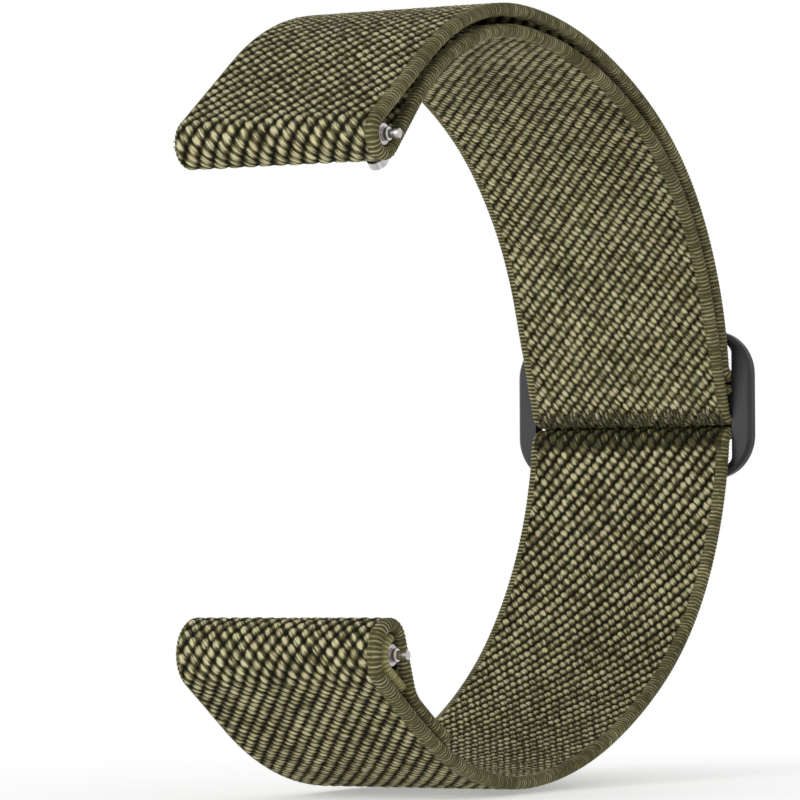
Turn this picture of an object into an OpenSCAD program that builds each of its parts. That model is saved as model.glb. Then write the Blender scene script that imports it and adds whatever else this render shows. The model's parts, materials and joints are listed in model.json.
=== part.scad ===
// Elastic nylon watch band with a sliding buckle, closed as it is worn on the wrist.
// X runs across the band, Y runs from the dial side to the back of the wrist,
// and Z runs up, from six o'clock to twelve. The origin is midway between the two spring bars.
// All sizes are in millimetres and all angles in degrees.

/* [Webbing] */
// Gap between the lugs that the band fits
lug_gap = 20; // [19:0.5:22]
// Play between the webbing and a lug, on each side
lug_play = 0.1; // [0.05:0.05:0.3]
// Thickness of one ply of webbing
ply = 1.2; // [1:0.05:1.3]
// Chamfer along the woven edges
edge_chamfer = 0.3; // [0.1:0.05:0.4]
// Gap between the outer run and the inner run
run_gap = 0.6; // [0.5:0.05:0.8]

/* [Loop shape] */
// Radius of the outer face at the back of the wrist
back_radius = 31.5; // [30.5:0.25:33]
// Angle at which the back arc ends, from the back of the wrist
back_end = 56; // [52:1:60]
// Radius of the outer face at the sides of the wrist
side_radius = 44; // [40:0.5:48]
// Angle at which the side arc ends
side_end = 87; // [84:1:90]
// Radius of the outer face where the band turns in to the lugs
corner_radius = 26; // [24:0.5:28]
// Angle at which that turn ends and the band runs straight to the spring bar
corner_end = 125; // [122:1:128]
// Length of the straight stretch from that turn to the spring bar
bar_lead = 10; // [9:0.5:13]

/* [Lower fold] */
// Distance from the spring bar to where the folded-back ply lies along the run
lay_reach = 5.5; // [5.2:0.1:6]
// Angle on the corner arc where the folded-back ply is cut off
sewn_end = 117; // [112:1:119]
// Radius of the bend that lays the folded-back ply against the run
lay_radius = 3; // [2.5:0.25:3.5]
// Gap left by the thread between sewn plies
seam_gap = 0.05; // [0.02:0.01:0.1]
// Thickness of the strip that lines the fold round the spring bar
strip_ply = 0.9; // [0.7:0.05:0.95]
// Length of that strip past the spring bar
strip_length = 2.6; // [1.6:0.1:2.8]
// Angle of that strip round the spring bar
strip_turn = 130; // [128:1:140]

/* [Slider] */
// Height of the slider frame along the band
frame_height = 13.5; // [13:0.25:15]
// Thickness of the slider frame
frame_ply = 1.3; // [1:0.1:1.5]
// Width of a side rail
rail_width = 1.9; // [1.4:0.1:2.4]
// Width of an end bar
end_bar = 1.25; // [1:0.05:1.5]
// Width of the centre bar
centre_bar = 2; // [1.8:0.1:2.2]
// Radius of the frame's outer corners
frame_corner = 4; // [3:0.25:5]
// Radius of the corners of the two slots
slot_corner = 0.8; // [0.4:0.1:1]
// Chamfer round the frame's outer edge
frame_chamfer = 0.3; // [0.1:0.05:0.4]
// Play between the webbing's edges and the ends of the slots
slot_play = 0.4; // [0.3:0.05:0.8]
// Distance from the run's outer face in to the frame's near face, at the frame's middle
frame_inset = 0.2; // [0:0.05:0.3]
// Thickness of the ply that is folded tight round the centre bar
fold_ply = 0.8; // [0.7:0.05:0.9]
// Gap between the centre bar and that ply
fold_gap = 0.1; // [0.05:0.05:0.15]
// Gap between that fold and the ply that passes over it
pass_gap = 0.1; // [0.05:0.05:0.3]
// Inside radius of the bend where the webbing goes through a slot
slot_bend = 0.5; // [0.4:0.05:0.6]
// Length of that tight ply above the centre bar
fold_length = 6; // [5.5:0.1:7]
// Where the slider stands on the back arc
slider_angle = -1.2; // [-3:0.2:3]
// Travel of the slider each way along the back arc
slider_travel = 22; // [10:1:22]
// Length of run kept clear past each end of the travel, as an angle
travel_spare = 3; // [2:0.5:4]

/* [Spring bars] */
// Diameter of the tube
tube_d = 1.8; // [1.7:0.05:1.9]
// Diameter of the tube's bore
bore_d = 1.4; // [1.35:0.05:1.5]
// Distance from a lug to the end of the tube
tube_setback = 0.5; // [0.3:0.05:0.6]
// Length of the crimp at each end of the tube
crimp_length = 0.4; // [0.3:0.05:0.5]
// Diameter of a plunger's stem, where it runs in the crimp
stem_d = 1.12; // [1.1:0.02:1.2]
// Diameter of a tip
tip_d = 0.8; // [0.7:0.05:0.8]
// Length of a tip past the lug's face
tip_reach = 1; // [0.8:0.05:1.2]
// Length of the plunger head inside the tube
head_length = 3; // [2.6:0.1:4]
// Play between moving pieces of a spring bar, on radius
bar_play = 0.04; // [0.02:0.01:0.06]
// Travel of a tip into the tube
tip_travel = 1.2; // [1:0.05:1.4]
// Play between the tube and the webbing, on radius
tunnel_play = 0.1; // [0.05:0.05:0.2]
// Diameter of the release lever's post
post_d = 0.5; // [0.4:0.05:0.6]
// Diameter of the post's foot in the plunger head
foot_d = 0.3; // [0.2:0.05:0.35]
// Diameter of the release lever's knob
knob_d = 1.7; // [1.3:0.1:2]
// Height of the release lever's knob
knob_height = 0.7; // [0.5:0.1:1]
// Gap between the webbing and the knob
knob_gap = 0.3; // [0.2:0.05:0.5]
// Turn of a spring bar each way inside the webbing
bar_turn = 12; // [5:1:14]
// Play round the post at the sides and ends of its openings
post_play = 0.1; // [0.05:0.05:0.15]
// Diameter of the spring's wire
wire_d = 0.2; // [0.16:0.01:0.22]
// Number of curls of the spring
spring_curls = 14; // [10:1:16]
// Play at each end of the spring
spring_end_play = 0.02; // [0.01:0.01:0.05]

/* [Hidden] */
$fn = 96;

olive = [0.42, 0.41, 0.25];
olive_light = [0.50, 0.49, 0.32];
gunmetal = [0.26, 0.26, 0.28];
steel = [0.74, 0.73, 0.74];

band_width = lug_gap - 2 * lug_play;

// Which ends of a stretch of webbing are tucked into the next stretch
NEITHER = [0, 0];
FIRST = [1, 0];
LAST = [0, 1];
BOTH = [1, 1];
tuck_length = 0.02;
tuck_inset = 0.01;

// The side view of the band lies in a plane of points [Y, Z].
function ray(a) = [cos(a), sin(a)];
function angle_of(v) = (atan2(v[1], v[0]) + 360) % 360;

// Tunnel round a spring bar: inner face, middle and outer face of the ply
wrap_in = tube_d / 2 + tunnel_play;
wrap_mid = wrap_in + ply / 2;
wrap_out = wrap_in + ply;

// Offsets of the three arcs and of the spring bar from the back arc's centre
side_offset = (back_radius - side_radius) * ray(back_end);
corner_offset = side_offset + (side_radius - corner_radius) * ray(side_end);
wrap_offset = corner_offset + (corner_radius - wrap_out) * ray(corner_end);
bar_offset = wrap_offset + bar_lead * ray(corner_end + 90);

// The same points, seen from the middle between the two spring bars
back_centre = [-bar_offset[0], 0];
side_centre = back_centre + side_offset;
corner_centre = back_centre + corner_offset;
bar_centre = back_centre + bar_offset;

// Distance from an arc's outer face in to the middle of the outer and of the inner run
outer_mid = ply / 2;
inner_mid = outer_mid + ply + run_gap;

// Direction of the face of a straight ply that leaves the far side of the turn at p
// and is laid on the circle at c of radius r
function lay_angle(p, c, r) = angle_of(p - c) - acos((r + wrap_mid) / norm(p - c));
function lay_length(p, c, r) = sqrt(pow(norm(p - c), 2) - pow(r + wrap_mid, 2));

upper_lay = lay_angle(bar_centre, corner_centre, corner_radius - inner_mid);
upper_lay_length = lay_length(bar_centre, corner_centre, corner_radius - inner_mid);

// The strip pushes the lower fold out, so the lower corner has a larger radius
strip_room = strip_ply + seam_gap;
strip_end = corner_end + strip_turn;
lower_wrap_mid = wrap_mid + strip_room;
corner_growth = strip_room / (1 - cos(corner_end - side_end));
lower_corner_radius = corner_radius + corner_growth;
lower_corner_centre = corner_centre - corner_growth * ray(side_end);
lower_lead = bar_lead + corner_growth * cos(corner_end + 90 - side_end);

// Past the strip's end the ply turns close round the bar, then is bent to lie along the run
lower_turn_centre = bar_centre + strip_room * ray(strip_end);
sewn_depth = lower_wrap_mid - ply - seam_gap;
sewn_radius = lower_corner_radius - outer_mid - ply - seam_gap;
lay_centre = bar_centre + lay_reach * ray(corner_end - 90)
    + (sewn_depth - lay_radius) * ray(corner_end);
lower_lay = lay_angle(lower_turn_centre, lay_centre, lay_radius);
lower_lay_length = lay_length(lower_turn_centre, lay_centre, lay_radius);

// Slider, in the side view turned so that its middle lies on the Y axis of the back arc
slot_length = band_width + 2 * slot_play;
frame_width = slot_length + 2 * rail_width;
frame_near = back_radius - frame_inset;
frame_mid = frame_near + frame_ply / 2;
bar_round = frame_ply / 2;
bar_half = centre_bar / 2 - bar_round;
fold_in = bar_round + fold_gap;
fold_mid = fold_in + fold_ply / 2;
pass_mid = fold_in + fold_ply + pass_gap + ply / 2;
leg_out = bar_half + pass_mid + ply / 2;

// Bend between a slot and the run: its centre stands off both faces by the bend's radius
bend_z = leg_out + slot_bend;
bend_y = sqrt(pow(back_radius + slot_bend, 2) - pow(bend_z, 2));
bend_angle = asin(bend_z / (back_radius + slot_bend));
bend_mid = slot_bend + ply / 2;
run_start = bend_angle + abs(slider_angle) + slider_travel + travel_spare;

// The inner run leaves its arc on a tangent and meets the fold round the centre bar
tangent_reach = back_radius - inner_mid + fold_mid;
tangent_angle = acos(tangent_reach / norm([frame_mid, bar_half])) - atan2(bar_half, frame_mid);
tangent_length = frame_mid * sin(tangent_angle) + bar_half * cos(tangent_angle);
fold_return = 140;

// Spring bars, along X from the middle of the band
tube_end = lug_gap / 2 - tube_setback;
bore_end = tube_end - crimp_length;
tip_end = lug_gap / 2 + tip_reach;
head_r = bore_d / 2 - bar_play;
head_start = bore_end - head_length;
post_x = bore_end - head_length / 2;
knob_start = wrap_out + knob_gap;
post_slot = post_d + tip_travel + 2 * post_play;
post_slot_x = post_x - tip_travel / 2;
post_swing = post_d + 2 * post_play + 2 * wrap_out * sin(bar_turn);
spring_r = bore_d / 2 - bar_play - wire_d / 2;
spring_length = 2 * (head_start - spring_end_play) - wire_d;

// Puts a side view, drawn with its width along Z, into the band's own axes
module side_view() {
    rotate([90, 0, 90]) children();
}

module mirrored_down(down) {
    mirror([0, down ? 1 : 0, 0]) children();
}

module at_slider() {
    translate([back_centre[0], 0, 0]) rotate([0, 0, slider_angle]) children();
}

// Cross section of the webbing, smaller by the inset: X is its thickness and Y its width
module web_section(thickness, inset) {
    x = thickness / 2 - inset;
    y = band_width / 2 - inset;
    c = edge_chamfer;
    polygon([
        [-x, c - y], [c - x, -y], [x - c, -y], [x, c - y],
        [x, y - c], [x - c, y], [c - x, y], [-x, y - c]
    ]);
}

// Webbing along an arc round c, with its middle at radius r, from angle a to angle b.
// A tucked stretch is a hair smaller, and reaches into its neighbour at a, at b or at both.
module arc_ply(c, r, a, b, tuck = NEITHER, thickness = ply) {
    reach = [for (end = tuck) end * tuck_length / r * 180 / PI];
    translate([c[0], c[1], 0])
        rotate([0, 0, a - reach[0]])
            rotate_extrude(angle = b - a + reach[0] + reach[1])
                translate([r, 0]) web_section(thickness, max(tuck) * tuck_inset);
}

// Straight webbing from the point p, heading along the angle h
module line_ply(p, h, length, tuck = NEITHER, thickness = ply) {
    reach = [for (end = tuck) end * tuck_length];
    translate([p[0], p[1], 0])
        rotate([0, 0, h]) translate([-reach[0], 0, 0]) rotate([90, 0, 90])
            linear_extrude(length + reach[0] + reach[1])
                web_section(thickness, max(tuck) * tuck_inset);
}

// The release lever stands square to the straight ply on the skin side of its tunnel
function lever_angle(lower) = 180 + (lower ? lower_lay : upper_lay);

// Opening in that ply for the release lever
module lever_opening(lower) {
    translate([bar_centre[0], bar_centre[1], post_slot_x])
        rotate([0, 0, lever_angle(lower)])
            translate([wrap_in / 2, -post_swing / 2, -post_slot / 2])
                cube([wrap_out + ply, post_swing, post_slot]);
}

// The run from the back of the wrist to where it heads straight for a spring bar.
// The last arc goes round c at the given radius.
module outer_arcs(c, radius) {
    arc_ply(back_centre, back_radius - outer_mid, run_start, back_end);
    arc_ply(side_centre, side_radius - outer_mid, back_end, side_end, BOTH);
    arc_ply(c, radius - outer_mid, side_end, corner_end);
}

module webbing_lower_run() {
    color(olive) side_view() mirrored_down(true)
        outer_arcs(lower_corner_centre, lower_corner_radius);
}

// Straight to the lower spring bar, round it, back against the run, and along it to the cut end
module webbing_lower_loop() {
    color(olive) side_view() mirrored_down(true) {
        difference() {
            union() {
                line_ply(bar_centre + lower_wrap_mid * ray(corner_end)
                    - lower_lead * ray(corner_end + 90), corner_end + 90, lower_lead);
                arc_ply(bar_centre, lower_wrap_mid, corner_end, strip_end, BOTH);
                arc_ply(lower_turn_centre, wrap_mid, strip_end, lower_lay + 180);
                line_ply(lower_turn_centre - wrap_mid * ray(lower_lay), lower_lay - 90,
                    lower_lay_length, BOTH);
            }
            lever_opening(true);
        }
        arc_ply(lay_centre, lay_radius, corner_end, lower_lay);
        line_ply(lay_centre + lay_radius * ray(corner_end), corner_end - 90,
            lower_lead - lay_reach, BOTH);
        arc_ply(lower_corner_centre, sewn_radius, sewn_end, corner_end);
    }
}

// A strip sewn inside the lower fold, between the spring bar and the ply that turns round it
module lower_tunnel_strip() {
    middle = wrap_in + strip_ply / 2;
    color(olive_light) side_view() mirrored_down(true) {
        line_ply(bar_centre + middle * ray(corner_end), corner_end - 90, strip_length,
            NEITHER, strip_ply);
        arc_ply(bar_centre, middle, corner_end, strip_end, FIRST, strip_ply);
    }
}

// Webbing between a slot of the slider and a run, which the slider pulls along
module slot_feed(down) {
    side = down ? -1 : 1;
    own = side * slider_angle;
    translate([back_centre[0], 0, 0]) mirrored_down(down) {
        rotate([0, 0, own])
            arc_ply([bend_y, bend_z], bend_mid, bend_angle + 180, 270, FIRST);
        arc_ply([0, 0], back_radius - outer_mid, bend_angle + own, run_start);
    }
}

module webbing_lower_feed() {
    color(olive) side_view() slot_feed(true);
}

module webbing_upper_feed() {
    color(olive) side_view() slot_feed(false);
}

// The ply that goes out through one slot, over the centre bar and in through the other
module webbing_slider_pass() {
    color(olive) side_view() at_slider() {
        for (down = [false, true]) mirrored_down(down) {
            arc_ply([frame_mid, bar_half], pass_mid, 0, 90, BOTH);
            line_ply([frame_mid, bar_half + pass_mid], 180, frame_mid - bend_y);
        }
        line_ply([frame_mid + pass_mid, -bar_half], 90, 2 * bar_half);
    }
}

module webbing_outer_run() {
    color(olive) side_view() outer_arcs(corner_centre, corner_radius);
}

// Straight to the upper spring bar, round it and straight back to the inner run
module webbing_upper_loop() {
    color(olive) side_view() difference() {
        union() {
            line_ply(bar_centre + wrap_mid * ray(corner_end) - bar_lead * ray(corner_end + 90),
                corner_end + 90, bar_lead);
            arc_ply(bar_centre, wrap_mid, corner_end, upper_lay + 180, BOTH);
            line_ply(bar_centre - wrap_mid * ray(upper_lay), upper_lay - 90, upper_lay_length);
        }
        lever_opening(false);
    }
}

module webbing_inner_run() {
    color(olive) side_view() {
        arc_ply(back_centre, back_radius - inner_mid, run_start, back_end);
        arc_ply(side_centre, side_radius - inner_mid, back_end, side_end, BOTH);
        arc_ply(corner_centre, corner_radius - inner_mid, side_end, upper_lay);
    }
}

function fold_point(along) =
    [frame_mid, -bar_half] - fold_mid * ray(tangent_angle) + along * ray(tangent_angle + 90);

module webbing_inner_feed() {
    color(olive) side_view() {
        at_slider()
            line_ply(fold_point(fold_length), tangent_angle + 90,
                tangent_length - fold_length, LAST);
        arc_ply(back_centre, back_radius - inner_mid, tangent_angle + slider_angle, run_start);
    }
}

// The end of the webbing, folded round the centre bar and sewn to itself
module webbing_anchor_fold() {
    color(olive) side_view() at_slider() {
        line_ply(fold_point(0), tangent_angle + 90, fold_length, NEITHER, fold_ply);
        arc_ply([frame_mid, -bar_half], fold_mid, 180 + tangent_angle, 360, BOTH, fold_ply);
        line_ply([frame_mid + fold_mid, -bar_half], 90, 2 * bar_half, NEITHER, fold_ply);
        arc_ply([frame_mid, bar_half], fold_mid, 0, fold_return, FIRST, fold_ply);
    }
}

// A rectangle with round corners, w along X and h along Y
module round_rect(w, h, r) {
    square([w - 2 * r, h], center = true);
    square([w, h - 2 * r], center = true);
    for (x = [-1, 1], y = [-1, 1])
        translate([x * (w / 2 - r), y * (h / 2 - r)]) circle(r);
}

// Cross section of the frame's outer edge: X runs outwards and Y through the thickness
module edge_section() {
    t = frame_ply / 2;
    c = frame_chamfer;
    polygon([[-2 * c, -t], [-c, -t], [0, c - t], [0, t - c], [-c, t], [-2 * c, t]]);
}

module frame_edge() {
    straight_x = frame_width - 2 * frame_corner;
    straight_y = frame_height - 2 * frame_corner;
    for (k = [0:3]) {
        long = k % 2 == 0;
        side_x = long ? straight_x : straight_y;
        side_y = long ? straight_y : straight_x;
        rotate([0, 0, 90 * k]) {
            translate([side_x / 2, side_y / 2, 0])
                rotate_extrude(angle = 90) translate([frame_corner, 0]) edge_section();
            translate([side_x / 2 + frame_corner, side_y / 2, 0])
                rotate([90, 0, 0]) linear_extrude(side_y) edge_section();
        }
    }
}

module slider_frame() {
    bar_length = slot_length + 2 * frame_chamfer;
    inset = 1.5 * frame_chamfer;
    slots_height = frame_height - 2 * end_bar;
    color(gunmetal) side_view() at_slider() translate([frame_mid, 0, 0]) {
        rotate([0, 90, 0]) difference() {
            union() {
                translate([0, 0, -frame_ply / 2]) linear_extrude(frame_ply)
                    round_rect(frame_width - 2 * inset, frame_height - 2 * inset,
                        frame_corner - inset);
                frame_edge();
            }
            translate([0, 0, -frame_ply]) linear_extrude(2 * frame_ply)
                round_rect(slot_length, slots_height, slot_corner);
        }
        translate([0, 0, -bar_length / 2]) linear_extrude(bar_length) {
            square([frame_ply, 2 * bar_half], center = true);
            for (y = [-1, 1]) translate([0, y * bar_half]) circle(bar_round);
        }
    }
}

// Puts a spring bar, drawn along X with its lever along Z, at the upper or lower lugs
module at_bar(lower) {
    turn = lower ? -lever_angle(lower) : lever_angle(lower);
    z = lower ? -bar_centre[1] : bar_centre[1];
    translate([0, bar_centre[0], z]) rotate([turn - 90, 0, 0]) children();
}

// A solid cylinder along X, from x = a to x = b
module along_x(a, b, r) {
    translate([a, 0, 0]) rotate([0, 90, 0]) cylinder(h = b - a, r = r);
}

module bar_tube(lower) {
    color(steel) at_bar(lower) difference() {
        along_x(-tube_end, tube_end, tube_d / 2);
        along_x(-bore_end, bore_end, bore_d / 2);
        along_x(-lug_gap / 2, lug_gap / 2, stem_d / 2 + bar_play);
        translate([post_slot_x - post_slot / 2, -post_d / 2 - post_play, 0])
            cube([post_slot, post_d + 2 * post_play, tube_d]);
    }
}

// The head slides in the bore, the stem in the crimp, and the tip stands in the lug's hole
module plunger() {
    along_x(head_start, bore_end, head_r);
    along_x(bore_end, lug_gap / 2, stem_d / 2);
    along_x(lug_gap / 2, tip_end, tip_d / 2);
}

module bar_plain_tip(lower) {
    color(steel) at_bar(lower) mirror([1, 0, 0]) plunger();
}

module bar_release_tip(lower) {
    color(steel) at_bar(lower) difference() {
        plunger();
        translate([post_x, 0, 0]) cylinder(h = tube_d, r = foot_d / 2);
    }
}

module bar_release_lever(lower) {
    color(steel) at_bar(lower) translate([post_x, 0, 0]) {
        cylinder(h = head_r + bar_play, r = foot_d / 2 - bar_play / 2);
        translate([0, 0, head_r + bar_play]) cylinder(h = knob_start - head_r, r = post_d / 2);
        translate([0, 0, knob_start]) cylinder(h = knob_height, r = knob_d / 2);
    }
}

// One ring of the wire's surface, t curls along the spring
function wire_ring(t, sides) = [
    for (k = [0:sides - 1])
        let (
            a = 360 * t,
            b = 360 * k / sides,
            r = spring_r + wire_d / 2 * cos(b),
            x = spring_length * (t / spring_curls - 0.5) + wire_d / 2 * sin(b)
        )
        [x, r * cos(a), r * sin(a)]
];

module bar_spring(lower) {
    sides = 6;
    rings = 8 * spring_curls;
    points = [for (i = [0:rings]) each wire_ring(i / 8, sides)];
    skin = [
        for (i = [0:rings - 1], k = [0:sides - 1])
            let (a = i * sides + k, b = i * sides + (k + 1) % sides)
            each [[a, b, a + sides], [b, b + sides, a + sides]]
    ];
    start = [for (k = [1:sides - 2]) [0, k + 1, k]];
    last = rings * sides;
    finish = [for (k = [1:sides - 2]) [last, last + k, last + k + 1]];
    color(steel) at_bar(lower) polyhedron(points, concat(skin, start, finish));
}

webbing_lower_run();
webbing_lower_loop();
lower_tunnel_strip();
webbing_lower_feed();
webbing_slider_pass();
webbing_upper_feed();
webbing_outer_run();
webbing_upper_loop();
webbing_inner_run();
webbing_inner_feed();
webbing_anchor_fold();
slider_frame();
bar_tube(false);  // upper_bar_tube
bar_spring(false);  // upper_bar_spring
bar_plain_tip(false);  // upper_bar_plain_tip
bar_release_tip(false);  // upper_bar_release_tip
bar_release_lever(false);  // upper_bar_release_lever
bar_tube(true);  // lower_bar_tube
bar_spring(true);  // lower_bar_spring
bar_plain_tip(true);  // lower_bar_plain_tip
bar_release_tip(true);  // lower_bar_release_tip
bar_release_lever(true);  // lower_bar_release_lever
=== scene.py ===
"""Elastic nylon watch band with a sliding buckle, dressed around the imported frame.

The strap is one long woven strip. It is made here in three lengths that meet end to end: the lower
length from its sewn end to the crest over the slider, the upper length from that crest round the
upper spring bar, and the inner length from there to the fold round the slider's centre bar.
Sizes are in millimetres until a mesh is made, and Blender's metres after that.
"""

import json
import math
from collections import namedtuple

import bmesh
import bpy
import numpy as np
from mathutils import Matrix, Vector


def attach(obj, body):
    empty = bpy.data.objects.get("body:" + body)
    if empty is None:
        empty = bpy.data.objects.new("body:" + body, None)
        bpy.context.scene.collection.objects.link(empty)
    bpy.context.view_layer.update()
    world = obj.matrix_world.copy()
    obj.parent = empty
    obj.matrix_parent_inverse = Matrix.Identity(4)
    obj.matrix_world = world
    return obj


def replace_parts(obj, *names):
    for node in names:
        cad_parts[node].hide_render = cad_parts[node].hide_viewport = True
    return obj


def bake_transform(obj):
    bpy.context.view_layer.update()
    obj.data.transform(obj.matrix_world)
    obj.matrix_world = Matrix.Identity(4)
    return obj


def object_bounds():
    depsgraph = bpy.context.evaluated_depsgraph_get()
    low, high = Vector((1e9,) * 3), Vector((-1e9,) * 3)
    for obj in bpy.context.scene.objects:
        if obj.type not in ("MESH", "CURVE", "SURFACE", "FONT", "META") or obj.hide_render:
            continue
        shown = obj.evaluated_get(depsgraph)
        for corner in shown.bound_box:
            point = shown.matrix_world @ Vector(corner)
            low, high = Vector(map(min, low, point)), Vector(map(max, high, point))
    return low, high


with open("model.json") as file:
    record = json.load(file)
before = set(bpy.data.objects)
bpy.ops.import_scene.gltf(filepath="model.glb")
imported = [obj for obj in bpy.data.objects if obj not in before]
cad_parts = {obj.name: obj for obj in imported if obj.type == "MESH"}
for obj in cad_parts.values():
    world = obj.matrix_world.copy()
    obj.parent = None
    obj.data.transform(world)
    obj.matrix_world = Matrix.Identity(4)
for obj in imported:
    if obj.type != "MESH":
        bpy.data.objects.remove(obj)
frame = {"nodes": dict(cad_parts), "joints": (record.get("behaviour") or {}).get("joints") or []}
cad_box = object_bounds()

MM = 0.001

# Webbing and bar sizes, as in the CAD model. Air is the play between a ply and what it wraps.
WIDTH = 19.8
PLY = 1.2
RUN_GAP = 0.6
SEAM_GAP = 0.05
BAR_TUBE = 1.8
AIR = 0.1

# Loop shape: the outer face's arcs from the back of the wrist to the spring bars
BACK_RADIUS, BACK_END = 31.5, 56.0
SIDE_RADIUS, SIDE_END = 44.0, 87.0
CORNER_RADIUS, CORNER_END = 26.0, 125.0
BAR_LEAD = 10.0
WRAP_IN = BAR_TUBE / 2 + AIR
WRAP_MID = WRAP_IN + PLY / 2

# Lower end: a strip lines the fold round the bar, and the ply is sewn back on the run
STRIP_PLY, STRIP_LEAD, STRIP_TURN = 0.9, 2.6, 130.0
LAY_REACH, LAY_RADIUS = 5.5, 3.0
SEWN_END = 117.0

# Slider: plate, centre bar, fold round it and crest over it. The fold's ply is pressed thin: it
# eases to that over a short way, keeps it for its length and then turns round the bar.
SLIDER_ANGLE = -1.2
FRAME_PLY, FRAME_INSET = 1.3, 0.2
FRAME_MID = BACK_RADIUS - FRAME_INSET + FRAME_PLY / 2
CENTRE_BAR = 2.0
BAR_HALF = CENTRE_BAR / 2 - FRAME_PLY / 2
FOLD_PLY, FOLD_EASE, FOLD_LENGTH, FOLD_RETURN = 0.8, 1.2, 6.0, 140.0
FOLD_MID = FRAME_PLY / 2 + AIR + FOLD_PLY / 2
PASS_MID = FOLD_MID + FOLD_PLY / 2 + AIR + PLY / 2
SLOT_BEND = 0.5

# Opening in the skin-side ply for each release lever: middle and size across, half size along,
# and how far the ply is cut back under the whipped edge
LEVER_X, LEVER_SLOT, LEVER_HALF = 7.0, 1.9, 0.8
LEVER_CUT = 0.1

OUTER_MID = PLY / 2
INNER_MID = OUTER_MID + PLY + RUN_GAP


def joint_point(name):
    """A joint's place in the side view, in millimetres: its Y and its Z."""
    joint = next(j for j in frame["joints"] if j["name"] == name)
    return np.array(joint["pos_m"][1:]) / MM


BACK_CENTRE = joint_point("slider_travel")
UPPER_BAR = joint_point("upper_bar_turn")


def ray(degrees):
    return np.array([math.cos(math.radians(degrees)), math.sin(math.radians(degrees))])


SIDE_CENTRE = BACK_CENTRE + (BACK_RADIUS - SIDE_RADIUS) * ray(BACK_END)
CORNER_CENTRE = SIDE_CENTRE + (SIDE_RADIUS - CORNER_RADIUS) * ray(SIDE_END)

# The strip pushes the lower fold out, so the lower corner has a larger radius
STRIP_ROOM = STRIP_PLY + SEAM_GAP
STRIP_END = CORNER_END + STRIP_TURN
STRIP_MID = WRAP_IN + STRIP_PLY / 2
TURN_IN = math.radians(CORNER_END - SIDE_END)
CORNER_GROWTH = STRIP_ROOM / (1 - math.cos(TURN_IN))
LOWER_RADIUS = CORNER_RADIUS + CORNER_GROWTH
LOWER_LEAD = BAR_LEAD - CORNER_GROWTH * math.sin(TURN_IN)
SEWN_RADIUS = LOWER_RADIUS - OUTER_MID - PLY - SEAM_GAP


def lay_line(start, centre, radius):
    """Direction of the face and length of a ply that runs straight from a turn to a circle."""
    across = start - centre
    reach = np.linalg.norm(across)
    turned = math.degrees(math.acos((radius + WRAP_MID) / reach))
    facing = math.degrees(math.atan2(across[1], across[0])) % 360
    return facing - turned, math.sqrt(reach ** 2 - (radius + WRAP_MID) ** 2)


# A route is a list of stretches: a length and a turn in degrees, to the left where positive
def line(length):
    return length, 0.0


def left(radius, degrees):
    return math.radians(degrees) * radius, degrees


def right(radius, degrees):
    return math.radians(degrees) * radius, -degrees


def slider_to_bar(own_angle, corner_radius, lead):
    """From the crest over the centre bar, in through a slot and round to the spring bar."""
    bend_z = BAR_HALF + PASS_MID + PLY / 2 + SLOT_BEND
    bend_y = math.sqrt((BACK_RADIUS + SLOT_BEND) ** 2 - bend_z ** 2)
    bend_angle = math.degrees(math.atan2(bend_z, bend_y))
    return [
        line(BAR_HALF),
        left(PASS_MID, 90),
        line(FRAME_MID - bend_y),
        right(SLOT_BEND + PLY / 2, 90 - bend_angle),
        left(BACK_RADIUS - OUTER_MID, BACK_END - bend_angle - own_angle),
        left(SIDE_RADIUS - OUTER_MID, SIDE_END - BACK_END),
        left(corner_radius - OUTER_MID, CORNER_END - SIDE_END),
        line(lead),
    ]


def upper_turn():
    """Round the upper spring bar and back on to the inner run."""
    facing, length = lay_line(UPPER_BAR, CORNER_CENTRE, CORNER_RADIUS - INNER_MID)
    return [
        left(WRAP_MID, 180 + facing - CORNER_END),
        line(length),
        right(CORNER_RADIUS - INNER_MID, facing - SIDE_END),
    ]


def inner_run():
    """Down the inner side to the slider, and how far the ply has still to turn there."""
    reach = BACK_RADIUS - INNER_MID + FOLD_MID
    aside = math.atan2(BAR_HALF, FRAME_MID)
    leave = math.acos(reach / math.hypot(FRAME_MID, BAR_HALF)) - aside
    length = FRAME_MID * math.sin(leave) + BAR_HALF * math.cos(leave)
    leave = math.degrees(leave)
    stretches = [
        right(SIDE_RADIUS - INNER_MID, SIDE_END - BACK_END),
        right(BACK_RADIUS - INNER_MID, BACK_END - leave - SLIDER_ANGLE),
        line(length),
    ]
    return stretches, 180 - leave


def anchor_fold(turn_on):
    """Round the slider's centre bar to the cut end."""
    return [left(FOLD_MID, turn_on), line(2 * BAR_HALF), left(FOLD_MID, FOLD_RETURN)]


def lower_turn():
    """Round the lined lower spring bar and back along the run, seen as if it were above."""
    start = UPPER_BAR + STRIP_ROOM * ray(STRIP_END)
    depth = WRAP_MID + STRIP_ROOM - PLY - SEAM_GAP
    centre = UPPER_BAR + LAY_REACH * ray(CORNER_END - 90) + (depth - LAY_RADIUS) * ray(CORNER_END)
    facing, length = lay_line(start, centre, LAY_RADIUS)
    return [
        left(WRAP_MID + STRIP_ROOM, STRIP_TURN),
        left(WRAP_MID, facing + 180 - STRIP_END),
        line(length),
        right(LAY_RADIUS, facing - CORNER_END),
        line(LOWER_LEAD - LAY_REACH),
        right(SEWN_RADIUS, CORNER_END - SEWN_END),
    ]


def route_length(stretches):
    return sum(length for length, turn in stretches)


def stretch_offset(heading, length, turn, along):
    """How far a stretch has gone from its start."""
    if not turn:
        return np.outer(along, ray(heading))
    radius = length / math.radians(turn)
    angle = np.radians(heading) + along / radius
    start = math.radians(heading)
    return radius * np.stack(
        [np.sin(angle) - math.sin(start), math.cos(start) - np.cos(angle)], 1)


# A route with its starting point and heading. Side is 1, or -1 where it is mirrored downwards.
Route = namedtuple("Route", "start heading stretches side")


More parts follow.
